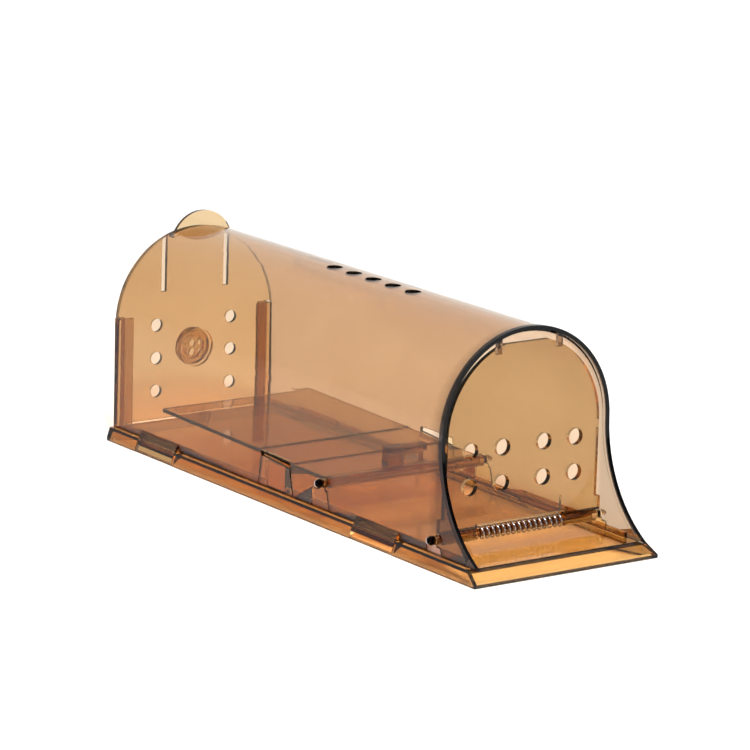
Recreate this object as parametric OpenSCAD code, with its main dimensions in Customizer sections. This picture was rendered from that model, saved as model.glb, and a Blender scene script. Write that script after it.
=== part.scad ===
// Live catch tunnel trap, in millimetres.
// +Z is up, the entrance faces -Y, and the origin is under the middle of the trap, on the surface it stands on.
// Every module is drawn with y = 0 at the tray's front edge; placed() then centres the whole trap on the origin.

/* [Tray] */
// Length of the tray, front edge to back face
tray_length = 237.4; // [197:0.1:290]
// Width of the tray across its bottom edge
tray_width = 80; // [66:1:96]
// Height of the tray's floor above the surface
tray_height = 5; // [4.4:0.1:6]
// Thickness of the tray's floor and skirt
tray_wall = 1.5; // [1.2:0.1:1.8]
// Height of the upright lip round the tray's foot
tray_lip = 1.2; // [0.8:0.1:2]
// How far each side of the skirt slopes in above the lip
side_slope = 1.3; // [0.8:0.1:2]
// How far the front of the skirt slopes in above the lip
front_slope = 6.1; // [4:0.1:9]
// Height of the ribs that locate the tunnel's walls
rib_height = 2.2; // [1.2:0.1:3]
// Thickness of those ribs
rib_wall = 1.2; // [0.8:0.1:1.5]

/* [Tunnel] */
// Width of the ledge outside the tunnel's walls
ledge = 1.8; // [1.4:0.1:2.4]
// Wall thickness of the tunnel
tunnel_wall = 1.4; // [1.2:0.1:1.8]
// How far each side wall leans in between the tray and the arch
wall_lean = 0.5; // [0:0.1:1]
// Height of the arch's centre
arch_z = 44.9; // [37:0.1:54]
// Distance from the tray's front edge to the arch's front rim
mouth_y = 25.6; // [22:0.1:25.8]
// Radius of the concave sweep from the arch down to the foot
sweep_r = 46; // [43:0.5:60]
// Width of the bead round the front rim
rim_width = 2; // [1.5:0.1:3]
// How far that bead stands proud of the sides
rim_proud = 0.1; // [0.1:0.05:0.6]
// How much higher than the roof the bead stands
rim_rise = 0.8; // [0.2:0.1:1]
// Diameter of the air holes along the ridge
ridge_hole_d = 6; // [4:0.1:8]
// Number of air holes along the ridge
ridge_hole_count = 5; // [3:1:7]
// Spacing of the air holes along the ridge
ridge_hole_pitch = 12.3; // [10:0.1:14]
// Distance from the tray's front edge to the first air hole
ridge_hole_y = 95.1; // [80:0.1:110]

/* [Snap tabs] */
// Length of each snap tab
tab_length = 25.4; // [18:0.2:30]
// Distance from the front edge to the front tabs' middle
tab_front_y = 61.3; // [55:0.1:66]
// Distance from the back face to the back tabs' middle
tab_back_y = 33.4; // [28:0.1:40]
// Gap round the snap tabs and round the tray's ears
tab_gap = 0.25; // [0.15:0.05:0.4]
// How far the tab's hook reaches under the tray's floor
hook_bite = 0.5; // [0.3:0.1:0.8]

/* [Pivots] */
// Diameter of both pivot rods
rod_d = 3; // [2.5:0.1:3.6]
// How much wider than its rod the ball at its left end is
ball_extra = 0.6; // [0.4:0.1:1.2]
// How far the ball's middle stands outside the tunnel's wall
ball_out = 1.3; // [1.2:0.1:1.6]
// How far the rod's straight part stands out at its right end
rod_out = 0.3; // [0:0.1:1]
// Radial clearance of a rod in the tunnel's wall
pivot_fit = 0.08; // [0.05:0.01:0.1]
// Radial clearance of a rod in the clip that holds it
clip_fit = 0.03; // [0.02:0.01:0.05]
// Wall thickness of the clips
clip_wall = 0.8; // [0.6:0.1:1]
// Distance from the front rim back to the door's pivot
door_set_back = 2.38; // [2.3:0.01:4]
// Height of the door's pivot above the floor
door_pivot_rise = 5.08; // [4.8:0.01:6]
// Distance from the folded door's far edge to the pedal's pivot
catch_gap = 1.81; // [1.6:0.01:2.2]
// Height of the pedal's pivot above the floor
pedal_pivot_rise = 9.78; // [9.4:0.01:10.2]

/* [Front door] */
// Thickness of the door
door_wall = 2; // [1.6:0.1:2.2]
// Gap between the door's edge and the tunnel's inside
door_gap = 2.1; // [1:0.1:2.6]
// Depth of the flat across the door's top
door_flat = 1.4; // [0.8:0.1:2.5]
// Height of the door's lower edge above its pivot
door_low_rise = 2; // [1.8:0.1:2.2]
// Height of the wider ears at the door's foot
door_ear_height = 4.9; // [3:0.1:8]
// Gap between those ears and the tunnel's inside
door_ear_gap = 0.8; // [0.4:0.05:1]
// Diameter of the door's air holes
door_hole_d = 6; // [4:0.1:7]
// Distance of the inner air holes from the middle
door_hole_in = 9; // [7:0.1:11]
// Distance of the outer air holes from the middle
door_hole_out = 22.8; // [19:0.1:24]
// Height of the lower row of air holes
door_hole_low = 27; // [24:0.1:30]
// Height of the upper row of air holes
door_hole_high = 39.8; // [36:0.1:44]

/* [Door spring] */
// Wire diameter of the torsion spring
wire_d = 0.7; // [0.4:0.05:0.8]
// How much wider the coil's bore is than the rod in it
coil_gap = 0.6; // [0.4:0.1:1]
// Length of its coil
coil_length = 36.5; // [30:0.5:42]
// Number of turns
coil_turns = 16; // [12:1:18]
// Distance of the coil's middle to the right of the trap's middle
coil_offset = 0; // [-3:0.5:3]
// Length of the leg that pushes on the door
door_leg = 8.5; // [6:0.5:12]
// Length of the leg that pushes on the tray
tray_leg = 9; // [7:0.5:12]

/* [Pedal] */
// Gap between the pedal's edge and the tunnel's inside
pedal_gap = 2.1; // [1.4:0.1:3]
// Distance from the pedal's back edge to the tunnel's end
pedal_back_gap = 30.6; // [20:0.1:45]
// Thickness of the pedal
pedal_wall = 1.4; // [1.2:0.1:1.6]
// Distance from the pivot to the pedal's first fold
fold_1 = 23.2; // [20:0.1:26]
// Distance from the pivot to the pedal's second fold
fold_2 = 44.6; // [40:0.1:50]
// Rise of the pedal's back edge above its pivot
pedal_rise = 3.5; // [2.8:0.1:4.5]
// Height of the small rib across the pedal at each fold
fold_rib = 0.4; // [0.2:0.1:0.8]
// Depth of the stiffening webs under the pedal's sides
web_depth = 1.9; // [1:0.1:2.6]
// Width of the catch that holds the door down
catch_width = 16.6; // [12:0.2:20]
// Height of the catch above the pivot
catch_height = 9.8; // [9:0.1:11]
// Height of the catch's lip above the pivot
lip_height = 7; // [6.6:0.1:7.4]

/* [Tray ears] */
// Length of the stop ears at their foot
stop_ear = 22.4; // [18:0.2:26]
// Distance from the pedal's pivot to the stop ears' middle
stop_ear_y = 29.6; // [28:0.1:32]
// Height of the stop ears' back corner above the floor
stop_ear_height = 11.4; // [10.5:0.1:11.8]
// Drop from that corner to the front one
stop_ear_drop = 1.3; // [0.5:0.1:2]
// Height of the tunnel's opening over the stop ears, above the floor
stop_notch_height = 12.9; // [12.2:0.1:13.5]
// Length of the ears under the pedal's rod, at their foot
pedal_ear = 11.1; // [8:0.1:13]
// Height of those ears above the floor
pedal_ear_height = 7; // [6:0.1:7.5]
// Length of the ears under the door's rod, at their foot
saddle_ear = 9.2; // [7:0.1:11]
// Height of those ears above the floor
saddle_ear_height = 2.8; // [1.8:0.1:3]

/* [Rear gate] */
// Thickness of the sliding gate
gate_wall = 1.5; // [1.2:0.1:1.8]
// Clearance of the gate in its rails
gate_fit = 0.25; // [0.2:0.05:0.4]
// How far the gate's edge sits inside the tunnel's outline
gate_inset = 0.8; // [0.4:0.1:1.2]
// Height of the rails' top above the arch's centre
rail_rise = 2.1; // [0:0.1:5]
// Thickness of the rails' flanges
rail_wall = 1.2; // [1:0.1:1.5]
// Width of the rails' front flange, in from their outer face
rail_width = 6.4; // [5:0.1:8]
// Distance from the tunnel's outside to the rails' outer face
rail_set_in = 2; // [1.8:0.1:3]
// How far the rear flange wraps behind the gate
rail_wrap = 2.8; // [2:0.1:4]
// Width of the gate's flexing tongue
tongue_width = 26; // [20:0.2:30]
// Width of the slots beside the tongue
tongue_slot = 2.4; // [1.5:0.1:3]
// Height of the slots' lower ends above the arch's centre
slot_rise = 10.7; // [8:0.1:18]
// Width of the thumb plate on the tongue
thumb_width = 25.2; // [20:0.2:27]
// Height of the thumb plate above the tunnel's roof
thumb_height = 5.9; // [4:0.1:8]
// Depth that the thumb plate hangs below its corners
thumb_drop = 3.7; // [2.5:0.1:5]
// Distance from the gate to the thumb plate's front
thumb_reach = 3.95; // [3:0.05:5]
// Diameter of the gate's air holes
gate_hole_d = 5; // [4:0.1:6]
// Distance of the gate's air holes from the middle
gate_hole_x = 16.98; // [14:0.01:20]
// Height of the lowest air holes in the gate
gate_hole_z = 16.7; // [14:0.1:20]
// Spacing of the gate's air holes
gate_hole_pitch = 13.02; // [11:0.01:15]

/* [Bait port] */
// Height of the bait port's middle
port_z = 32.6; // [28:0.1:38]
// Outside diameter of the bait port's collar
port_d = 15; // [13:0.1:17]
// Depth of the collar inside the trap
port_depth = 2; // [1.6:0.1:3]
// Wall thickness of the collar and of its grille
port_wall = 1.2; // [1:0.1:1.4]
// Radial clearance of the bait cap in the collar
cap_fit = 0.1; // [0.05:0.05:0.2]
// Wall thickness of the bait cap
cap_wall = 1; // [0.8:0.1:1.2]
// How far the bait cap stands behind the gate
cap_out = 3.4; // [2.6:0.1:5]
// Diameter of the cup behind the cap's flange
cup_d = 10.4; // [9:0.1:11]
// Diameter of the smell holes in the grille
petal_d = 2.8; // [2:0.1:3.2]

/* [Hidden] */
$fn = 64;

AMBER = [0.80, 0.55, 0.30, 0.6];
TAN = [0.87, 0.69, 0.54, 0.6];
STEEL = [0.75, 0.76, 0.78];

over = 1; // how far a cutting tool passes the face it cuts
half_tray = tray_width / 2;
half_ledge = half_tray - side_slope;
half_out = half_ledge - ledge;
half_in = half_out - tunnel_wall;
arch_out = half_out - wall_lean;
arch_in = arch_out - tunnel_wall;
floor_z = tray_height;
tunnel_end = tray_length + 0.2;
roof_z = arch_z + arch_out;
tab_back = tray_length - tab_back_y;
tab_middles = [tab_front_y, tab_back];

// Door and pedal
door_pivot_y = mouth_y + door_set_back;
door_pivot_z = floor_z + door_pivot_rise;
half_door = arch_in - door_gap;
half_door_ear = half_in - door_ear_gap;
door_top_z = arch_z + half_door - door_flat;
door_low_z = door_pivot_z + door_low_rise;
door_ear_z = door_low_z + door_ear_height;
pedal_pivot_y = door_pivot_y + door_top_z - door_pivot_z + catch_gap;
pedal_pivot_z = floor_z + pedal_pivot_rise;
rod_r = rod_d / 2;
ball_d = rod_d + ball_extra;
clip_r = rod_r + clip_fit + clip_wall;
coil_d = rod_d + coil_gap + 2 * wire_d;
coil_r = (coil_d - wire_d) / 2;
coil_left = coil_offset - coil_length / 2;
notch_gap = 1; // room between the coil's ends and the door's notch
pedal_length = tunnel_end - pedal_back_gap - pedal_pivot_y;
half_pedal = half_in - pedal_gap;
stop_y = pedal_pivot_y + stop_ear_y;

// Gate
gate_y = tunnel_end + gate_fit;
gate_back = gate_y + gate_wall;
rail_back = gate_back + gate_fit + rail_wall;
rail_top = arch_z + rail_rise;
rail_out = half_out - rail_set_in;
rail_in = rail_out - rail_width;
slot_low = arch_z + slot_rise;
half_gate = rail_out - rail_wall - gate_fit;
cap_back = gate_back + cap_out;
overall_length = max(rail_back, cap_back);

module placed() {
    translate([0, -overall_length / 2, 0]) children();
}

// Both sides of a shape drawn on the right
module both_sides() {
    children();
    mirror([1, 0, 0]) children();
}

// An outline drawn in x and z, as thick as depth, starting at y
module slab_y(y, depth) {
    translate([0, y + depth, 0]) rotate([90, 0, 0]) linear_extrude(depth) children();
}

// An outline drawn in y and z, from x0 to x1
module slab_x(x0, x1) {
    translate([x0, 0, 0]) rotate([90, 0, 90]) linear_extrude(x1 - x0) children();
}

// A round bar along x through the point y, z
module bar_x(x0, x1, y, z, r) {
    translate([x0, y, z]) rotate([0, 90, 0]) cylinder(h = x1 - x0, r = r);
}

// A round bar along y through the point x, z
module bar_y(x, z, y0, y1, r) {
    translate([x, y1, z]) rotate([90, 0, 0]) cylinder(h = y1 - y0, r = r);
}

// A block between two corners
module block(a, b) {
    translate(a) cube(b - a);
}

// ---------------------------------------------------------------- tray

// The tray's outside, drawn smaller all round by inset
module tray_form(inset, low) {
    w = half_tray - inset;
    top = tray_height - inset;
    intersection() {
        slab_y(0, tray_length)
            polygon([[-w, low], [w, low], [w, tray_lip], [w - side_slope, top], [-(w - side_slope), top],
                     [-w, tray_lip]]);
        slab_x(-half_tray, half_tray)
            polygon([[inset, low], [tray_length - inset, low], [tray_length - inset, top],
                     [front_slope + inset, top], [inset, tray_lip]]);
    }
}

// An ear in y and z between front and back at its foot, with its top corners at [y, z]; low lets it run further down
module ear_outline(front, back, top_front, top_back, low, grow) {
    polygon([[front - grow, low], [back + grow, low], [back + grow, floor_z], top_back + [grow, grow],
             top_front + [-grow, grow], [front - grow, floor_z]]);
}

nib = rod_d; // width of the saddle that carries a rod

stop_ear_top = floor_z + stop_ear_height;
stop_notch_top = floor_z + stop_notch_height;
pedal_ear_top = floor_z + pedal_ear_height;
saddle_ear_top = floor_z + saddle_ear_height;

module stop_ear_outline(low, grow) {
    front = stop_y - stop_ear / 2;
    back = stop_y + stop_ear / 2;
    ear_outline(front, back, [front + 2.7, stop_ear_top - stop_ear_drop], [back - 1.6, stop_ear_top], low, grow);
}

// The tunnel's opening over a stop ear leaves room for the pedal's edge to be seen
module stop_notch_outline() {
    front = stop_y - stop_ear / 2;
    back = stop_y + stop_ear / 2;
    ear_outline(front, back, [front + 2.7, stop_notch_top], [back - 1.6, stop_notch_top], floor_z - over, tab_gap);
}

module pedal_ear_outline(low, grow) {
    front = pedal_pivot_y + 0.9 - pedal_ear / 2;
    back = front + pedal_ear;
    ear_outline(front, back, [front + 2, pedal_ear_top], [back - 0.6, pedal_ear_top], low, grow);
}

module saddle_ear_outline(low, grow) {
    front = door_pivot_y - saddle_ear / 2;
    back = front + saddle_ear;
    ear_outline(front, back, [front + 1, saddle_ear_top], [back - 0.6, saddle_ear_top], low, grow);
}

// Saddle under a rod, up to just below it
module saddle_outline(y, z, low) {
    translate([y - nib / 2, low]) square([nib, z - rod_r - pivot_fit - low]);
}

shelf_y = pedal_pivot_y + fold_1 + 1.5; // behind the pedal's webs
slot_wall = 1.4;
slot_x = half_in - rib_wall - 0.3 - slot_wall - 0.1;
rib_end = tunnel_end - rail_wall - 1.2;

module base_tray() {
    color(AMBER) placed() {
        difference() {
            tray_form(0, 0);
            tray_form(tray_wall, -over);
            for (y = tab_middles) both_sides()
                block([half_in - tab_gap, y - tab_length / 2 - tab_gap, -over],
                      [half_tray + over, y + tab_length / 2 + tab_gap, tray_height + over]);
            // Narrow slots just inside the walls
            for (span = [[tab_front_y - 15, tab_front_y + 14], [tab_front_y + 16.5, tab_front_y + 29.5],
                         [tab_back - 38.5, tab_back - 12.5]])
                both_sides() block([slot_x, span[0], 0], [slot_x + slot_wall, span[1], tray_height + over]);
        }
        both_sides() {
            // Locating ribs inside the walls
            block([half_in - 0.3 - rib_wall, mouth_y - 14, floor_z - 0.5],
                  [half_in - 0.3, rib_end, floor_z + rib_height]);
            // Ears that fill the notches in the walls
            slab_x(half_in, half_out) stop_ear_outline(floor_z - 0.5, 0);
            slab_x(half_in, half_out) pedal_ear_outline(floor_z - 0.5, 0);
            slab_x(half_in, half_out) saddle_ear_outline(floor_z - 0.5, 0);
            slab_x(half_in, half_out) saddle_outline(pedal_pivot_y, pedal_pivot_z, pedal_ear_top - 0.5);
            slab_x(half_in, half_out) saddle_outline(door_pivot_y, door_pivot_z, saddle_ear_top - 0.5);
            // Shelf that the pedal rests on
            block([half_pedal - 0.8, shelf_y, floor_z - 0.5],
                  [half_in + 0.5, stop_y + stop_ear / 2 - 3, pedal_low(shelf_y) - 0.1]);
        }
    }
}

// ---------------------------------------------------------------- tunnel

// An arched outline in x and z: as wide as half at the arch, and wider by lean at the floor
module arch_outline(half, lean, low, rise = 0) {
    slope = lean / (arch_z - floor_z);
    foot = half + slope * (arch_z - low);
    translate([0, arch_z + rise]) circle(r = half, $fn = 128);
    polygon([[-half, arch_z + rise], [-half, arch_z], [-foot, low], [foot, low], [half, arch_z],
             [half, arch_z + rise]]);
}

// What lies in front of a line that sweeps forward from the arch down to the foot
module mouth_cut(back) {
    r = sweep_r + back;
    bar_x(-half_tray - over, half_tray + over, mouth_y - sweep_r, arch_z, r);
    block([-half_tray - over, -over, arch_z], [half_tray + over, mouth_y + back, roof_z + 2 * over]);
}

// One snap tab, drawn in x and z on the right
module tab_outline() {
    hook_top = tray_height - tray_wall - 0.3;
    polygon([[half_in, floor_z + 3], [half_out, floor_z + 3], [half_ledge, tray_height], [half_tray, tray_lip],
             [half_tray, 0], [half_tray - 1.5, 0], [half_in + 1.2, hook_top - 1.6],
             [half_in - tab_gap - hook_bite, hook_top - 0.6], [half_in - tab_gap - hook_bite, hook_top],
             [half_in, hook_top]]);
}

thumb_notch = tongue_width / 2;
stop_gap = 0.25; // between the door and its stops
stop_x = 0.4 * half_door;
stop_low = arch_z + sqrt(pow(half_door, 2) - pow(stop_x, 2)) - 1.6;

module tunnel_shell() {
    color(TAN) placed() {
        difference() {
            union() {
                slab_y(0, tunnel_end) arch_outline(arch_out, wall_lean, floor_z);
                // Bead round the front rim
                intersection() {
                    slab_y(0, tunnel_end) arch_outline(arch_out + rim_proud, wall_lean, floor_z, rim_rise);
                    mouth_cut(rim_width);
                }
            }
            slab_y(-over, tunnel_end + 2 * over) arch_outline(arch_in, wall_lean, floor_z - over);
            intersection() {
                slab_y(-over, tunnel_end + 2 * over)
                    arch_outline(arch_out + rim_proud - tunnel_wall, wall_lean, floor_z - over, rim_rise);
                mouth_cut(rim_width);
            }
            mouth_cut(0);
            block([-half_tray - over, -over, -over], [half_tray + over, tray_length + 2 * over, floor_z]);
            for (i = [0 : ridge_hole_count - 1])
                translate([0, ridge_hole_y + i * ridge_hole_pitch, arch_z])
                    cylinder(h = arch_out + 2 * over, d = ridge_hole_d);
            // Notch in the roof's back edge for the gate's thumb plate
            block([-thumb_notch, gate_y - thumb_reach - 0.4, arch_z], [thumb_notch, tunnel_end + over, roof_z + over]);
            // Holes for the rods, open below, and notches for the tray's ears
            for (p = [[door_pivot_y, door_pivot_z], [pedal_pivot_y, pedal_pivot_z]]) {
                bar_x(-half_tray, half_tray, p[0], p[1], rod_r + pivot_fit);
                block([-half_tray, p[0] - nib / 2 - 0.15, floor_z - over], [half_tray, p[0] + nib / 2 + 0.15, p[1]]);
            }
            slab_x(-half_tray, half_tray) stop_notch_outline();
            slab_x(-half_tray, half_tray) pedal_ear_outline(floor_z - over, tab_gap);
            slab_x(-half_tray, half_tray) saddle_ear_outline(floor_z - over, tab_gap);
        }
        // Snap tabs
        for (y = tab_middles) both_sides() slab_y(y - tab_length / 2, tab_length) tab_outline();
        both_sides() {
            // Stops that the closed door rests against
            intersection() {
                block([stop_x - 1.1, mouth_y, stop_low],
                      [stop_x + 1.1, door_pivot_y - door_wall / 2 - stop_gap, roof_z]);
                slab_y(0, tray_length) arch_outline(arch_in + rim_proud + 0.5, wall_lean, floor_z, rim_rise);
            }
            // Rails for the gate
            intersection() {
                union() {
                    block([rail_in, tunnel_end - rail_wall, floor_z], [half_in + 0.5, tunnel_end, rail_top]);
                    block([half_gate + gate_fit, tunnel_end - rail_wall, floor_z], [rail_out, rail_back, rail_top]);
                    block([half_gate + gate_fit, tunnel_end, floor_z - rail_wall + 0.2],
                          [rail_out, rail_back, rail_top]);
                    block([half_gate + gate_fit - rail_wrap, gate_back + gate_fit, floor_z - rail_wall + 0.2],
                          [rail_out, rail_back, rail_top]);
                    block([half_gate + gate_fit - rail_wrap, tunnel_end, floor_z - rail_wall + 0.2],
                          [rail_out, rail_back, floor_z + 0.2]);
                }
                slab_y(0, overall_length + over) arch_outline(arch_in + 0.5, wall_lean, 0);
            }
        }
    }
}

// ---------------------------------------------------------------- door

// A clip round a rod, open towards the front, from x0 to x1
module rod_clip(x0, x1, y, z) {
    difference() {
        bar_x(x0, x1, y, z, clip_r);
        bar_x(x0 - over, x1 + over, y, z, rod_r + clip_fit);
        block([x0 - over, y - clip_r - over, z - 1.1], [x1 + over, y - 0.4, z + 1.1]);
    }
}

module front_door() {
    front = door_pivot_y - door_wall / 2;
    notch_left = coil_left - notch_gap;
    notch_right = coil_left + coil_length + notch_gap;
    color(AMBER) placed() {
        difference() {
            slab_y(front, door_wall) difference() {
                intersection() {
                    union() {
                        arch_outline(half_door, 0, door_low_z);
                        translate([-half_door_ear, door_low_z])
                            square([2 * half_door_ear, door_ear_z - door_low_z]);
                    }
                    translate([-half_out, door_low_z]) square([2 * half_out, door_top_z - door_low_z]);
                }
                translate([notch_left, door_low_z - over])
                    square([notch_right - notch_left, door_pivot_z + coil_d / 2 + 0.7 - door_low_z + over]);
            }
            for (x = [-door_hole_out, -door_hole_in, door_hole_in, door_hole_out])
                for (z = [door_hole_low, door_hole_high])
                    bar_y(x, z, front - over, front + door_wall + over, door_hole_d / 2);
        }
        rod_clip(-half_door_ear + 2, notch_left, door_pivot_y, door_pivot_z);
        rod_clip(notch_right, half_door_ear - 2, door_pivot_y, door_pivot_z);
    }
}

// A rod through both walls, with a ball at its left end and a tapered tip at its right end
module pivot_rod(y, z) {
    bar_x(-half_out - ball_out, half_out + rod_out, y, z, rod_r);
    translate([-half_out - ball_out, y, z]) sphere(d = ball_d);
    translate([half_out + rod_out, y, z]) rotate([0, 90, 0]) cylinder(h = 1.3, r1 = rod_r, r2 = rod_r - 0.7);
}

module door_rod() {
    color(AMBER) placed() pivot_rod(door_pivot_y, door_pivot_z);
}

// ---------------------------------------------------------------- spring

wire_sides = 6;
turn_steps = 14;
coil_steps = coil_turns * turn_steps;

// The wire's middle line: a leg on the tray, the coil, then a leg behind the door
function coil_point(i) =
    let (a = 360 * i / turn_steps)
    [coil_left + coil_length * i / coil_steps, door_pivot_y + coil_r * cos(a), door_pivot_z + coil_r * sin(a)];

tray_end_z = floor_z + wire_d / 2 + 0.15;
wire_path = concat(
    [[coil_left, door_pivot_y + tray_leg, tray_end_z],
     [coil_left, door_pivot_y + tray_leg * 0.6, tray_end_z + 0.3],
     [coil_left, door_pivot_y + coil_r + 0.3, door_pivot_z - 1.4]],
    [for (i = [0 : coil_steps]) coil_point(i)],
    [[coil_left + coil_length + 0.2, door_pivot_y + coil_r - 0.05, door_pivot_z + 1.5],
     [coil_left + coil_length + 0.2, door_pivot_y + door_wall / 2 + wire_d / 2 + 0.2, door_pivot_z + door_leg]]);

// Direction of the wire at point i, and two directions square to it
function unit(v) = v / norm(v);
function along(i) =
    unit(wire_path[min(i + 1, len(wire_path) - 1)] - wire_path[max(i - 1, 0)]);
function side_a(i) = unit(cross(along(i), [1, 0.02, 0.01]));
function side_b(i) = cross(along(i), side_a(i));

module door_spring() {
    n = len(wire_path);
    points = [for (i = [0 : n - 1]) for (k = [0 : wire_sides - 1])
        let (a = 360 * k / wire_sides)
        wire_path[i] + wire_d / 2 * (side_a(i) * cos(a) + side_b(i) * sin(a))];
    sides = [for (i = [0 : n - 2]) for (k = [0 : wire_sides - 1]) for (half = [0, 1])
        let (m = (k + 1) % wire_sides, near = i * wire_sides, far = near + wire_sides)
        half == 0 ? [near + k, far + k, far + m] : [near + k, far + m, near + m]];
    first = [for (k = [0 : wire_sides - 1]) k];
    last = [for (k = [wire_sides - 1 : -1 : 0]) (n - 1) * wire_sides + k];
    color(STEEL) placed() polyhedron(points, concat([first, last], sides), convexity = 8);
}

// ---------------------------------------------------------------- pedal

// Height of the pedal's top face above the pivot, at a distance behind the pivot
fold_1_rise = rod_r - 0.1;
fold_2_rise = rod_r + 0.9;
function pedal_rise_at(d) =
    d < fold_1 ? fold_1_rise
    : d < fold_2 ? fold_1_rise + (fold_2_rise - fold_1_rise) * (d - fold_1) / (fold_2 - fold_1)
    : fold_2_rise + (pedal_rise - fold_2_rise) * (d - fold_2) / (pedal_length - fold_2);
function pedal_low(y) = pedal_pivot_z + pedal_rise_at(y - pedal_pivot_y) - pedal_wall;

module pedal_profile() {
    stations = [clip_r - 0.4, fold_1, fold_2, pedal_length];
    polygon(concat(
        [for (d = stations) [pedal_pivot_y + d, pedal_pivot_z + pedal_rise_at(d)]],
        [for (i = [len(stations) - 1 : -1 : 0])
            [pedal_pivot_y + stations[i], pedal_pivot_z + pedal_rise_at(stations[i]) - pedal_wall]]));
}

module web_profile() {
    low = pedal_pivot_z + fold_1_rise - pedal_wall;
    polygon([[pedal_pivot_y + fold_1 - 10, low + 0.3], [pedal_pivot_y + fold_1 - 10, low],
             [pedal_pivot_y + fold_1 - 1.5, low - web_depth], [pedal_pivot_y + fold_1 - 0.5, low - web_depth],
             [pedal_pivot_y + fold_1, low + 0.3]]);
}

module pedal() {
    wall_y = pedal_pivot_y + 0.3;
    top = pedal_pivot_z + catch_height;
    left = -catch_width / 2;
    right = catch_width / 2;
    low = pedal_pivot_z + rod_r;
    color(AMBER) placed() {
        slab_x(-half_pedal, half_pedal) pedal_profile();
        for (d = [fold_1, fold_2])
            block([-half_pedal, pedal_pivot_y + d - 0.4, pedal_pivot_z + pedal_rise_at(d) - 0.5],
                  [half_pedal, pedal_pivot_y + d + 0.4, pedal_pivot_z + pedal_rise_at(d) + fold_rib]);
        rod_clip(-half_pedal, half_pedal, pedal_pivot_y, pedal_pivot_z);
        both_sides() slab_x(half_pedal - 1.2, half_pedal) web_profile();
        // Catch for the door's top edge: a wall with a window, a lip, and a solid left half
        difference() {
            block([left, wall_y, low + 0.1], [right, wall_y + 1.4, top]);
            block([-0.8, wall_y - over, low + 1], [right - 0.9, wall_y + 1.4 + over, pedal_pivot_z + 5.6]);
        }
        block([left, pedal_pivot_y - 1.9, pedal_pivot_z + lip_height], [right, wall_y + 1.4, top]);
        block([left, pedal_pivot_y - 0.7, low + 0.1], [-1, wall_y + 2.6, top]);
    }
}

module pedal_rod() {
    color(AMBER) placed() pivot_rod(pedal_pivot_y, pedal_pivot_z);
}

// ---------------------------------------------------------------- gate

gate_r = arch_out - gate_inset;
corner_z = arch_z + sqrt(pow(arch_out, 2) - pow(thumb_width / 2, 2));
thumb_top = roof_z + thumb_height;

// Radius of the arc that rises by sag over a chord of the given width
function arc_r(chord, sag) = (pow(chord / 2, 2) + pow(sag, 2)) / (2 * sag);

module thumb_outline() {
    up = arc_r(thumb_width, thumb_top - corner_z);
    down = arc_r(thumb_width, thumb_drop);
    intersection() {
        translate([0, thumb_top - up]) circle(r = up, $fn = 96);
        translate([0, corner_z - thumb_drop + down]) circle(r = down, $fn = 96);
    }
}

module rear_gate() {
    gate_low = floor_z + 0.5;
    thumb_y = gate_y - thumb_reach;
    plug_r = port_d / 2 - port_wall;
    color(AMBER) placed() {
        difference() {
            union() {
                slab_y(gate_y, gate_wall) {
                    intersection() {
                        arch_outline(gate_r, 0, gate_low);
                        translate([-half_gate, gate_low]) square([2 * half_gate, arch_z + half_out]);
                    }
                    intersection() {
                        arch_outline(gate_r, 0, gate_low);
                        translate([-half_out, rail_top + 0.6]) square([2 * half_out, half_out]);
                    }
                }
                // Collar of the bait port
                bar_y(0, port_z, gate_y - port_depth, gate_y + 0.5, port_d / 2);
            }
            for (x = [-tongue_width / 2 - tongue_slot, tongue_width / 2])
                block([x, gate_y - over, slot_low], [x + tongue_slot, gate_back + over, roof_z + over]);
            for (x = [-gate_hole_x, gate_hole_x])
                for (i = [0 : 2])
                    bar_y(x, gate_hole_z + i * gate_hole_pitch, gate_y - over, gate_back + over, gate_hole_d / 2);
            bar_y(0, port_z, gate_y - port_depth + port_wall, gate_back + over, plug_r);
            // Smell holes in the grille
            for (a = [45 : 90 : 315])
                bar_y(2.7 * cos(a), port_z + 2.7 * sin(a), gate_y - port_depth - over, gate_y, petal_d / 2);
        }
        // Ledge that fills the notch in the roof, and the thumb plate at its front
        intersection() {
            slab_y(thumb_y, thumb_reach + 0.5) difference() {
                arch_outline(gate_r, 0, arch_z - over);
                arch_outline(gate_r - tunnel_wall, 0, arch_z - 2 * over);
            }
            block([-thumb_width / 2, 0, arch_z], [thumb_width / 2, overall_length, roof_z + over]);
        }
        slab_y(thumb_y, gate_wall) thumb_outline();
    }
}

// ---------------------------------------------------------------- bait cap

module bait_cap() {
    plug_r = port_d / 2 - port_wall - cap_fit;
    front = gate_y - port_depth + port_wall + 0.3;
    color(AMBER) placed() {
        difference() {
            union() {
                bar_y(0, port_z, front, gate_back + 0.2, plug_r);
                bar_y(0, port_z, gate_back + 0.1, gate_back + 1, port_d / 2 - 0.3);
                bar_y(0, port_z, gate_back + 0.5, cap_back, cup_d / 2);
            }
            bar_y(0, port_z, front - over, cap_back - cap_wall, cup_d / 2 - cap_wall);
            // Finger flats
            both_sides() block([cup_d / 2 - 0.5, gate_back + 1, 0], [cup_d, cap_back + over, roof_z]);
        }
    }
}

base_tray();
tunnel_shell();
front_door();
door_rod();
door_spring();
pedal();
pedal_rod();
rear_gate();
bait_cap();
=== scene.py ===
"""Live catch tunnel trap in clear plastic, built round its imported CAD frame. Metres, +Z up, entrance at -Y."""
import math

import bpy
import bmesh
from mathutils import Matrix, Vector


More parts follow.
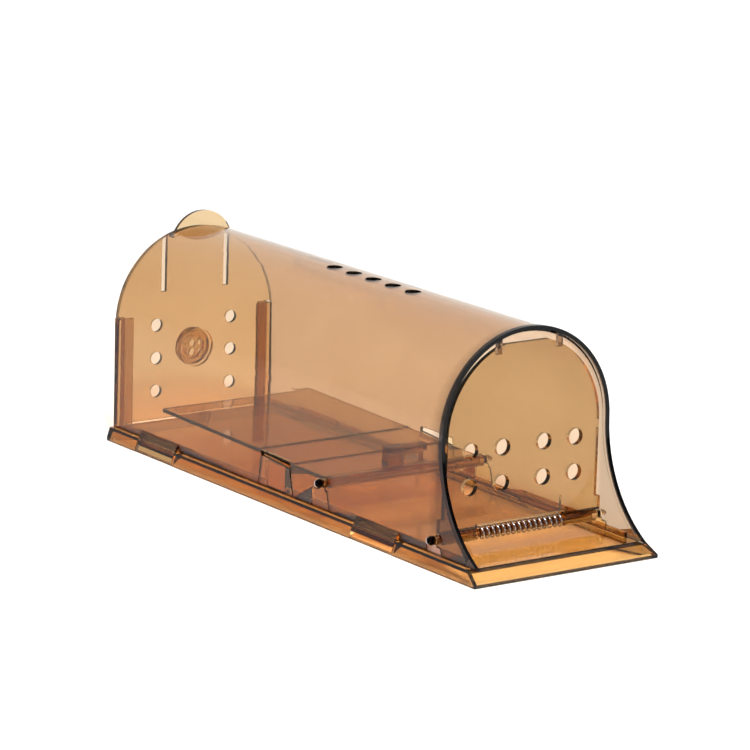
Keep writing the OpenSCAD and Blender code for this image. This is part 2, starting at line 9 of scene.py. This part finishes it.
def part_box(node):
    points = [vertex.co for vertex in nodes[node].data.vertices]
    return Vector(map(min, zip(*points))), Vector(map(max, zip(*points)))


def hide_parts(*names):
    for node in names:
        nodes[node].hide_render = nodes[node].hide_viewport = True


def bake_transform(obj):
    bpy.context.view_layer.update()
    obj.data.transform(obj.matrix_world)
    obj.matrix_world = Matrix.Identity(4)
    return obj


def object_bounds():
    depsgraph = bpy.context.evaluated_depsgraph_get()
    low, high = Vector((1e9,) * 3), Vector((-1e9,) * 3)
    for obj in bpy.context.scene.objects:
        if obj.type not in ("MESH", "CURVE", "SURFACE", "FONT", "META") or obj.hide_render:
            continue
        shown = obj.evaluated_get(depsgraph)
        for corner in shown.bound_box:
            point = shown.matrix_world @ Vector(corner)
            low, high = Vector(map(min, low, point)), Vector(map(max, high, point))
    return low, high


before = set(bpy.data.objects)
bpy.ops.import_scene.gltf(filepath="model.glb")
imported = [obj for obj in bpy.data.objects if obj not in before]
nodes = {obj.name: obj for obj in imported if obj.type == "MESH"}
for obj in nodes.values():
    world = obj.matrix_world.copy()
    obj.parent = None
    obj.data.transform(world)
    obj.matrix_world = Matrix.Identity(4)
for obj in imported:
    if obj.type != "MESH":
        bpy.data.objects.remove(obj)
cad_low, cad_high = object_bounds()
scene = bpy.context.scene

# ---------------------------------------------------------------- node helpers


class Tree:
    """A material's node tree, with short ways to add and join nodes."""

    def __init__(self, name):
        self.mat = bpy.data.materials.new(name)
        self.mat.use_nodes = True
        self.nt = self.mat.node_tree
        self.nt.nodes.clear()
        self.out = self.add("ShaderNodeOutputMaterial")

    def add(self, kind, **values):
        node = self.nt.nodes.new(kind)
        for key, value in values.items():
            if hasattr(node, key):
                setattr(node, key, value)
            else:
                node.inputs[key.replace("_", " ")].default_value = value
        return node

    def join(self, a, b):
        """Links output a to input b."""
        self.nt.links.new(a, b)

    def noise(self, coords, scale, detail=2.0, stretch=None):
        """Noise from 0 to 1, with the coordinates stretched if asked."""
        if stretch:
            mapping = self.add("ShaderNodeMapping")
            mapping.inputs["Scale"].default_value = stretch
            self.join(coords, mapping.inputs["Vector"])
            coords = mapping.outputs[0]
        node = self.add("ShaderNodeTexNoise")
        node.inputs["Scale"].default_value = scale
        node.inputs["Detail"].default_value = detail
        self.join(coords, node.inputs["Vector"])
        return node.outputs["Fac"]

    def ramp(self, fac, stops):
        """A colour ramp with (position, colour) stops."""
        node = self.add("ShaderNodeValToRGB")
        first, last = node.color_ramp.elements
        first.position, first.color = stops[0][0], stops[0][1]
        last.position, last.color = stops[-1][0], stops[-1][1]
        for position, colour in stops[1:-1]:
            element = node.color_ramp.elements.new(position)
            element.color = colour
        self.join(fac, node.inputs["Fac"])
        return node.outputs["Color"]

    def math(self, operation, a, *others):
        """A Math node on sockets and numbers."""
        node = self.nt.nodes.new("ShaderNodeMath")
        node.operation = operation
        for socket, value in zip(node.inputs, (a, *others)):
            if isinstance(value, (int, float)):
                socket.default_value = value
            else:
                self.join(value, socket)
        return node.outputs[0]

    def over(self, value, limit, soft=0.12):
        """1 where value is over limit, fading over soft."""
        node = self.nt.nodes.new("ShaderNodeMapRange")
        node.inputs["From Min"].default_value = limit - soft / 2
        node.inputs["From Max"].default_value = limit + soft / 2
        self.join(value, node.inputs["Value"])
        return node.outputs["Result"]

    def under(self, value, limit, soft=0.12):
        """1 where value is under limit, fading over soft."""
        return self.math("SUBTRACT", 1.0, self.over(value, limit, soft))

    def both(self, *values):
        """Masks multiplied: 1 where all are."""
        out = values[0]
        for value in values[1:]:
            out = self.math("MULTIPLY", out, value)
        return out

    def either(self, *values):
        """The largest of the masks: 1 where any is."""
        out = values[0]
        for value in values[1:]:
            out = self.math("MAXIMUM", out, value)
        return out

    def span(self, fac, low, high):
        """A value from 0 to 1 mapped to low to high."""
        node = self.add("ShaderNodeMapRange")
        node.inputs["To Min"].default_value = low
        node.inputs["To Max"].default_value = high
        self.join(fac, node.inputs["Value"])
        return node.outputs["Result"]


def parts_of(t, coords):
    """A point in millimetres: its distance from the middle plane, y from the tray's front edge, and z."""
    split = t.add("ShaderNodeSeparateXYZ")
    t.join(coords, split.inputs[0])
    x = t.math("ABSOLUTE", t.math("MULTIPLY", split.outputs[0], 1000.0))
    y = t.math("MULTIPLY_ADD", split.outputs[1], 1000.0, HALF_LENGTH)
    z = t.math("MULTIPLY", split.outputs[2], 1000.0)
    return x, y, z


def clear_plastic(name, face, deep, absorb, mask=None, edge=(0.006, 0.005, 0.006), rough=0.02, ior=1.3,
                  shade_zone=None, shine=None):
    """Polished see-through plastic: tinted glass with faint mould waviness.

    mask picks where cut edges get painted dark shade; shade_zone is a mask and a colour that darken the tint
    there as painted shade; shine is a mask for a polished coat."""
    t = Tree(name)
    coords = t.add("ShaderNodeTexCoord").outputs["Object"]
    cloud = t.noise(coords, 38.0, 2.0)
    fine = t.noise(coords, 900.0, 2.0)
    tint = t.ramp(cloud, [(0.35, (*deep, 1)), (0.65, (*face, 1))])
    # Painted shade: inside the zone's mask the tint is multiplied by a darker colour.
    if shade_zone:
        in_zone, colour = shade_zone
        deeper = t.add("ShaderNodeMix", data_type="RGBA", blend_type="MULTIPLY")
        t.join(in_zone(t, *parts_of(t, coords)), deeper.inputs["Factor"])
        t.join(tint, deeper.inputs[6])
        deeper.inputs[7].default_value = (*colour, 1)
        tint = deeper.outputs[2]
    # Painted shade on cut edges: where the mask picks, the tint turns to the dark edge colour.
    if mask:
        dark = t.ramp(fine, [(0.3, (*edge, 1)), (0.7, (*[c * 1.6 for c in edge], 1))])
        blend = t.add("ShaderNodeMix", data_type="RGBA")
        t.join(mask(t, *parts_of(t, coords)), blend.inputs["Factor"])
        t.join(tint, blend.inputs[6])
        t.join(dark, blend.inputs[7])
        tint = blend.outputs[2]
    glass = t.add("ShaderNodeBsdfPrincipled")
    glass.inputs["Transmission Weight"].default_value = 1.0
    glass.inputs["IOR"].default_value = ior
    t.join(tint, glass.inputs["Base Color"])
    if shine:
        glass.inputs["Coat IOR"].default_value = 2.0
        glass.inputs["Coat Roughness"].default_value = 0.01
        glass.inputs["Coat Tint"].default_value = (0.95, 0.78, 0.50, 1)
        t.join(shine(t, *parts_of(t, coords)), glass.inputs["Coat Weight"])
    t.join(t.span(fine, rough * 0.5, rough * 1.5), glass.inputs["Roughness"])
    bump = t.add("ShaderNodeBump")
    bump.inputs["Strength"].default_value = 0.05
    bump.inputs["Distance"].default_value = 0.0004
    t.join(t.noise(coords, 90.0, 1.0), bump.inputs["Height"])
    t.join(bump.outputs["Normal"], glass.inputs["Normal"])
    lamps = t.add("ShaderNodeBsdfTransparent")
    face_share = t.add("ShaderNodeGamma")
    face_share.inputs["Gamma"].default_value = 0.5
    t.join(tint, face_share.inputs["Color"])
    t.join(face_share.outputs[0], lamps.inputs["Color"])
    path = t.add("ShaderNodeLightPath")
    mix = t.add("ShaderNodeMixShader")
    t.join(path.outputs["Is Shadow Ray"], mix.inputs["Fac"])
    t.join(glass.outputs[0], mix.inputs[1])
    t.join(lamps.outputs[0], mix.inputs[2])
    t.join(mix.outputs[0], t.out.inputs["Surface"])
    body = t.add("ShaderNodeVolumeAbsorption")
    body.inputs["Color"].default_value = (*absorb[0], 1)
    body.inputs["Density"].default_value = absorb[1]
    t.join(body.outputs[0], t.out.inputs["Volume"])
    return t.mat


def steel(name):
    """Bright drawn wire: fine lines along it, with slightly uneven shine."""
    t = Tree(name)
    coords = t.add("ShaderNodeTexCoord").outputs["Object"]
    lines = t.noise(coords, 1500.0, 3.0, (4.0, 1.0, 1.0))
    metal = t.add("ShaderNodeBsdfPrincipled")
    metal.inputs["Metallic"].default_value = 1.0
    shades = t.ramp(lines, [(0.3, (0.22, 0.22, 0.23, 1)), (0.7, (0.60, 0.60, 0.62, 1))])
    t.join(shades, metal.inputs["Base Color"])
    t.join(t.span(lines, 0.12, 0.32), metal.inputs["Roughness"])
    bump = t.add("ShaderNodeBump")
    bump.inputs["Strength"].default_value = 0.2
    bump.inputs["Distance"].default_value = 0.00005
    t.join(lines, bump.inputs["Height"])
    t.join(bump.outputs["Normal"], metal.inputs["Normal"])
    t.join(metal.outputs[0], t.out.inputs["Surface"])
    return t.mat


def plain(name, colour, rough):
    """A matt surface, for the studio's floor."""
    t = Tree(name)
    matt = t.add("ShaderNodeBsdfPrincipled")
    matt.inputs["Base Color"].default_value = (*colour, 1)
    matt.inputs["Roughness"].default_value = rough
    t.join(matt.outputs[0], t.out.inputs["Surface"])
    return t.mat


def dress(name, main, *others):
    """Gives a node the main material, and each other material to the faces that its test picks.

    A test gets a face's middle in millimetres, with y from the tray's front edge, and its normal."""
    mesh = nodes[name].data
    mesh.materials.clear()
    for mat in [main] + [mat for mat, test in others]:
        mesh.materials.append(mat)
    for face in mesh.polygons:
        c = face.center * 1000
        c.y += HALF_LENGTH
        face.material_index = 0
        for i, (mat, test) in enumerate(others):
            if test(c, face.normal):
                face.material_index = i + 1


# ---------------------------------------------------------------- sizes, in millimetres

HALF_LENGTH = (cad_high.y - cad_low.y) * 500
tray_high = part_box("base_tray")[1] * 1000
FLOOR = 5.0
HALF_TRAY = tray_high.x
HALF_LEDGE = HALF_TRAY - 1.3
SLOPE = 6.1  # how far the skirt's front slopes in
LIP = 1.2
MOUTH, ARCH_Z, SWEEP = 25.6, 44.9, 46.0
BACK_END = 237.6
HALF_OUT, HALF_IN, ARCH_OUT = 36.9, 35.5, 36.4
DOOR_LOW = 12.08
PEDAL_Y, PEDAL_Z, HALF_PEDAL = 96.11, 14.78, 33.4
FOLDS = (PEDAL_Y + 23.2, PEDAL_Y + 44.6)

# Widths of the bands where a cut edge gets painted dark shade
TOP_BAND, CORNER_BAND, FOOT_BAND, FOLD_BAND = 1.0, 1.1, 0.35, 0.42
BEAD, BEAD_DEPTH = 1.9, 1.7
NEARLY = 0.85  # how dark the painted shade on the thinner edges gets


def skirt_side(t, x, z):
    """Height up the slope, and distance out with the slope taken off: HALF_TRAY all over the outer face."""
    up = t.math("MINIMUM", t.math("MAXIMUM", t.math("SUBTRACT", z, LIP), 0.0), FLOOR - LIP)
    return up, t.math("ADD", x, t.math("MULTIPLY", up, (HALF_TRAY - HALF_LEDGE) / (FLOOR - LIP)))


def skirt_painted_shade(t, x, y, z):
    """The skirt's outer sides, where the tint is darkened as painted shade."""
    return t.both(t.over(skirt_side(t, x, z)[1], HALF_TRAY - 0.15, 0.1), t.under(z, FLOOR - 0.05, 0.05))


def skirt_edge_shade(t, x, y, z):
    """Painted dark shade on the bands where the skirt's top plate, corners and lip are seen edge on."""
    up, side = skirt_side(t, x, z)
    front = t.math("SUBTRACT", y, t.math("MULTIPLY", up, SLOPE / (FLOOR - LIP)))
    outside = t.either(t.over(side, HALF_TRAY - 0.15, 0.1), t.under(front, 0.15, 0.1))
    top = t.both(t.over(z, FLOOR - TOP_BAND), outside)
    corner = t.both(t.over(side, HALF_TRAY - CORNER_BAND), t.under(front, CORNER_BAND))
    lip = t.both(t.under(z, LIP), t.under(y, 0.3))
    foot = t.both(t.under(z, FOOT_BAND), outside)
    return t.either(top, corner, lip, foot)


def rim_edge_shade(t, x, y, z):
    """Painted dark shade on the front rim's cut face, the bead's outer side and the back end's edge."""
    drop = t.math("SUBTRACT", y, MOUTH - SWEEP)
    rise = t.math("SUBTRACT", z, ARCH_Z)
    sweep = t.math("SUBTRACT", t.math("SQRT", t.math("ADD", t.math("MULTIPLY", drop, drop),
                                                     t.math("MULTIPLY", rise, rise))), SWEEP)
    low = t.under(z, ARCH_Z, 0.02)
    behind = t.math("ADD", t.math("MULTIPLY", low, sweep),
                    t.math("MULTIPLY", t.math("SUBTRACT", 1.0, low), t.math("SUBTRACT", y, MOUTH)))
    up = t.math("MAXIMUM", rise, 0.0)
    out = t.math("SQRT", t.math("ADD", t.math("MULTIPLY", x, x), t.math("MULTIPLY", up, up)))
    back_end = t.math("MULTIPLY", t.over(y, BACK_END - 0.35), NEARLY)
    return t.both(t.over(out, ARCH_OUT - BEAD_DEPTH),
                  t.either(t.under(behind, 0.2), back_end,
                           t.both(t.under(behind, BEAD), t.over(out, ARCH_OUT - 0.4, 0.1))))


def front_floor(t, x, y, z):
    """The tray's floor in front of the door, which mirrors the spring."""
    return t.math("MULTIPLY", t.both(t.under(y, 30.0, 4.0), t.over(z, FLOOR - 0.05, 0.02)), 0.75)


def shell_painted_shade(t, x, y, z):
    """Painted shade on the cover: its tint is darkened in front of the door, and less so towards its foot."""
    return t.either(t.under(y, 31.0, 6.0), t.math("MULTIPLY", t.under(z, 26.0, 36.0), 0.3))


def pedal_edge_shade(t, x, y, z):
    """Painted dark shade on the pedal's side edges and along its two folds."""
    side = t.over(x, HALF_PEDAL - 0.06, 0.04)
    folds = [t.math("MULTIPLY", t.under(t.math("ABSOLUTE", t.math("SUBTRACT", y, f)), FOLD_BAND, 0.05), NEARLY)
             for f in FOLDS]
    return t.either(side, *folds)


def door_edge_shade(t, x, y, z):
    """Painted dark shade on the door's lower edge, above its clips."""
    return t.both(t.over(z, DOOR_LOW - 0.1), t.under(z, DOOR_LOW + 0.45))


def rod_coil_shade(t, x, y, z):
    """Painted shade on the rod inside the spring: its tint is darkened to brown there."""
    return t.math("MULTIPLY", t.under(x, 19.0), 0.8)


# ---------------------------------------------------------------- materials

TAN_TINT = ((0.73, 0.575, 0.425), (0.71, 0.555, 0.405))
AMBER_TINT = ((0.73, 0.56, 0.34), (0.71, 0.54, 0.32))
TAN_BODY = ((0.85, 0.55, 0.20), 70.0)
AMBER_BODY = ((0.86, 0.54, 0.14), 90.0)
# The cover's tint gets painted shade in front of the door and towards its foot, and painted dark edges round its
# rim.
TAN = clear_plastic("clear_tan", *TAN_TINT, TAN_BODY, rim_edge_shade, ior=1.25,
                    shade_zone=(shell_painted_shade, (0.62, 0.60, 0.58)))
AMBER = clear_plastic("clear_amber", *AMBER_TINT, AMBER_BODY)
# A near-black tint for cut faces and hole walls: painted shade.
BLACK_EDGE_SHADE = clear_plastic("painted_shade_black", (0.006, 0.005, 0.005), (0.003, 0.003, 0.003), AMBER_BODY, ior=1.25)
TAB = clear_plastic("clear_tan_tab", (0.88, 0.74, 0.52), (0.86, 0.72, 0.50), TAN_BODY)
RAIL = clear_plastic("clear_tan_rail", (0.66, 0.46, 0.24), (0.62, 0.43, 0.21), TAN_BODY)
# A dark brown tint for slot and hole walls: painted shade.
BROWN_EDGE_SHADE = clear_plastic("painted_shade_brown", (0.30, 0.14, 0.05), (0.22, 0.10, 0.03), AMBER_BODY)
# The tray gets painted dark edges on its skirt, and painted shade on the skirt's outer sides.
TRAY = clear_plastic("clear_amber_tray", (0.69, 0.53, 0.32), (0.66, 0.51, 0.30), AMBER_BODY, skirt_edge_shade,
                     shade_zone=(skirt_painted_shade, (0.60, 0.42, 0.26)), shine=front_floor)
# The door's lower edge gets painted dark shade.
DOOR = clear_plastic("clear_amber_door", (0.62, 0.49, 0.29), (0.60, 0.47, 0.27), AMBER_BODY, door_edge_shade)
# The pedal's side edges and folds get painted dark grey shade.
PEDAL = clear_plastic("clear_amber_pedal", *AMBER_TINT, AMBER_BODY, pedal_edge_shade, (0.06, 0.05, 0.045))
CATCH = clear_plastic("clear_amber_catch", (0.60, 0.36, 0.16), (0.56, 0.33, 0.14), AMBER_BODY)
# The rods' balls outside the left wall get a near-black tint: painted shade.
PIN_END_SHADE = clear_plastic("clear_amber_pin_end_shade", (0.14, 0.08, 0.05), (0.10, 0.06, 0.035), AMBER_BODY, ior=1.1)
# The rod's stretch inside the spring gets painted brown shade.
ROD = clear_plastic("clear_amber_rod", *AMBER_TINT, AMBER_BODY, rod_coil_shade, (0.22, 0.10, 0.04))


def ear_edge(c, n):
    """The tray's ears, where their cut edges face the front or up: these get painted near-black shade."""
    return c.z > FLOOR + 0.05 and HALF_IN - 0.05 < abs(c.x) < HALF_OUT + 0.05 and abs(n.x) < 0.2 and (
        n.z > 0.5 or n.y < -0.5)


def slot_edge(c, n):
    """The long slots' inner faces, which get painted dark brown shade."""
    return 0.1 < c.z < FLOOR - 0.1 and 31.5 < abs(c.x) < 34.1 and abs(n.z) < 0.2


def ridge_hole(c, n):
    """The inner faces of the air holes along the ridge, which get painted near-black shade."""
    return abs(c.x) < 3.2 and c.z > ARCH_Z + 30 and 90 < c.y < 150 and abs(n.z) < 0.3


def rim_face(c, n):
    """The front rim's cut face, which gets painted near-black shade."""
    if c.z >= ARCH_Z:
        return abs(c.y - MOUTH) < 0.05 and math.hypot(c.x, c.z - ARCH_Z) > 34.6
    return abs(math.hypot(c.y - MOUTH + SWEEP, c.z - ARCH_Z) - SWEEP) < 0.06 and abs(c.x) > 34.6


def tab_face(c, n):
    """The snap tabs."""
    return c.z < FLOOR + 2.8 and abs(c.x) > HALF_OUT - 0.4


def rail_face(c, n):
    """The rear gate's rails."""
    return c.y > 234 and 28 < abs(c.x) < 35.2 and c.z < 47.2


def pin_end(c, n):
    """A rod's ball, outside the left wall, which gets a near-black tint as painted shade."""
    return c.x < -HALF_OUT - 0.3


def plate_hole(c, n):
    """The inner faces of the door's air holes, which get painted dark brown shade."""
    return abs(n.y) < 0.3 and 20 < c.z < 45


def catch(c, n):
    """The catch at the pedal's front."""
    return c.z > PEDAL_Z + 2.6 and abs(c.x) < 9 and c.y < PEDAL_Y + 4


# The black and brown tints put on cut faces, slot walls and hole walls are painted shade.
dress("tunnel_shell", TAN, (BLACK_EDGE_SHADE, ridge_hole), (BLACK_EDGE_SHADE, rim_face), (TAB, tab_face), (RAIL, rail_face))
dress("base_tray", TRAY, (BLACK_EDGE_SHADE, ear_edge), (BROWN_EDGE_SHADE, slot_edge))
dress("front_door", DOOR, (BROWN_EDGE_SHADE, plate_hole))
dress("pedal", PEDAL, (CATCH, catch))
dress("door_rod", ROD, (PIN_END_SHADE, pin_end))
dress("pedal_rod", AMBER, (PIN_END_SHADE, pin_end))
dress("rear_gate", AMBER)
dress("bait_cap", AMBER)

# ---------------------------------------------------------------- spring

WIRE = 0.00035  # the wire's radius, in metres like the rest of this section
COIL = 0.00215  # the radius of the coil's middle line
TURNS = 16
TURN_STEPS = 24
rod_low, rod_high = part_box("door_rod")
axis_y = (rod_low.y + rod_high.y) / 2
axis_z = (rod_low.z + rod_high.z) / 2
left = -0.01825
right = 0.01825
floor_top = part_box("base_tray")[0].z + FLOOR / 1000


def wire_points():
    """The spring's middle line: a leg along the tray, the close coil, and a leg up behind the door."""
    rest = floor_top + WIRE + 0.00015
    points = [Vector((left, axis_y + 0.009, rest)), Vector((left, axis_y + 0.0055, rest + 0.0003)),
              Vector((left, axis_y + COIL + 0.0003, axis_z - 0.0014))]
    for i in range(TURNS * TURN_STEPS + 1):
        a = 2 * math.pi * i / TURN_STEPS
        points.append(Vector((left + (right - left) * i / (TURNS * TURN_STEPS), axis_y + COIL * math.cos(a),
                              axis_z + COIL * math.sin(a))))
    points.append(Vector((right + 0.0002, axis_y + COIL - 0.00005, axis_z + 0.0015)))
    points.append(Vector((right + 0.0002, axis_y + 0.00145, axis_z + 0.0085)))
    return points


def tube(name, points, radius, sides, mat):
    """A round wire along points, closed at both ends."""
    bm = bmesh.new()
    rings = []
    normal = Vector((1, 0.02, 0.01))
    for i, p in enumerate(points):
        ahead = points[min(i + 1, len(points) - 1)] - points[max(i - 1, 0)]
        ahead.normalize()
        side = ahead.cross(normal)
        side.normalize()
        other = ahead.cross(side)
        rings.append([bm.verts.new(p + radius * (side * math.cos(2 * math.pi * k / sides)
                                                 + other * math.sin(2 * math.pi * k / sides)))
                      for k in range(sides)])
    for a, b in zip(rings, rings[1:]):
        for k in range(sides):
            m = (k + 1) % sides
            bm.faces.new([a[k], b[k], b[m], a[m]])
    bm.faces.new(rings[0])
    bm.faces.new(list(reversed(rings[-1])))
    bmesh.ops.recalc_face_normals(bm, faces=bm.faces)
    mesh = bpy.data.meshes.new(name)
    bm.to_mesh(mesh)
    bm.free()
    for face in mesh.polygons:
        face.use_smooth = len(face.vertices) == 4
    o = bpy.data.objects.new(name, mesh)
    scene.collection.objects.link(o)
    mesh.materials.append(mat)
    return o


spring = tube("door_spring_wire", wire_points(), WIRE, 10, steel("drawn_wire"))
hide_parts("door_spring")
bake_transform(spring)

# ---------------------------------------------------------------- stage, light, camera

floor_mesh = bpy.data.meshes.new("studio_floor")
bm = bmesh.new()
bmesh.ops.create_grid(bm, x_segments=1, y_segments=1, size=6.0)
bm.to_mesh(floor_mesh)
bm.free()
floor = bpy.data.objects.new("studio_floor", floor_mesh)
floor.location = (0, 0, -0.0002)  # just clear of the tray's foot
scene.collection.objects.link(floor)
floor_mesh.materials.append(plain("studio_white", (0.96, 0.96, 0.96), 0.95))

world = bpy.data.worlds.new("studio")
scene.world = world
world.use_nodes = True
sky = world.node_tree
backdrop = sky.nodes["Background"]
room = sky.nodes.new("ShaderNodeBackground")
heading = sky.nodes.new("ShaderNodeTexCoord")
split = sky.nodes.new("ShaderNodeSeparateXYZ")
sky.links.new(heading.outputs["Generated"], split.inputs[0])


def sky_level(axis, start, end, low, high):
    """The room's brightness: low where a direction's axis is under start, rising to high at end."""
    node = sky.nodes.new("ShaderNodeMapRange")
    for key, value in (("From Min", start), ("From Max", end), ("To Min", low), ("To Max", high)):
        node.inputs[key].default_value = value
    sky.links.new(split.outputs[axis], node.inputs["Value"])
    return node.outputs[0]


level = sky.nodes.new("ShaderNodeMath")
level.operation = "MAXIMUM"
sky.links.new(sky_level("Y", -0.5, 0.6, 0.25, 0.95), level.inputs[0])
sky.links.new(sky_level("Z", 0.5, 0.9, 0.0, 0.7), level.inputs[1])
sky.links.new(level.outputs[0], room.inputs["Strength"])
room.inputs["Color"].default_value = (1, 1, 1, 1)
backdrop.inputs["Color"].default_value = (1, 1, 1, 1)
seen = sky.nodes.new("ShaderNodeLightPath")
choose = sky.nodes.new("ShaderNodeMixShader")
sky.links.new(seen.outputs["Is Camera Ray"], choose.inputs[0])
sky.links.new(room.outputs[0], choose.inputs[1])
sky.links.new(backdrop.outputs[0], choose.inputs[2])
sky.links.new(choose.outputs[0], sky.nodes["World Output"].inputs["Surface"])


def area(name, at, to, size, power):
    """A rectangular lamp at a point, facing another."""
    light = bpy.data.lights.new(name, "AREA")
    light.shape = "RECTANGLE"
    light.size, light.size_y = size
    light.energy = power
    o = bpy.data.objects.new(name, light)
    o.location = at
    o.rotation_euler = (Vector(to) - Vector(at)).to_track_quat("-Z", "Y").to_euler()
    scene.collection.objects.link(o)


sun_data = bpy.data.lights.new("overhead", "SUN")
sun_data.angle = math.radians(50)
sun_data.energy = 1.35
sun = bpy.data.objects.new("overhead", sun_data)
sun.rotation_euler = (math.radians(12), math.radians(-14), 0)
scene.collection.objects.link(sun)
area("front_top", (-0.35, -0.75, 0.95), (0, -0.1, 0.01), (0.22, 0.22), 13)

# The camera, as fitted to the photograph
AZ, EL, ROLL = math.radians(-35.617), math.radians(13.068), math.radians(1.627)
CAMERA_AT = (-0.831552, -1.165083, 0.377418)
back = Vector((math.sin(AZ) * math.cos(EL), -math.cos(AZ) * math.cos(EL), math.sin(EL)))
across = Vector((math.cos(AZ), math.sin(AZ), 0))
up = back.cross(across)
x_axis = across * math.cos(ROLL) + up * math.sin(ROLL)
y_axis = up * math.cos(ROLL) - across * math.sin(ROLL)
camera_data = bpy.data.cameras.new("camera")
camera_data.sensor_width = 36
camera_data.lens = 192.96
camera = bpy.data.objects.new("camera", camera_data)
turn = Matrix((x_axis, y_axis, back)).transposed().to_4x4()
camera.matrix_world = Matrix.Translation(CAMERA_AT) @ turn
scene.collection.objects.link(camera)
scene.camera = camera

scene.view_settings.view_transform = "Standard"
scene.cycles.max_bounces = 24
scene.cycles.transmission_bounces = 24
scene.cycles.transparent_max_bounces = 32
scene.cycles.glossy_bounces = 6
scene.cycles.diffuse_bounces = 2
scene.cycles.caustics_reflective = True
scene.cycles.caustics_refractive = True
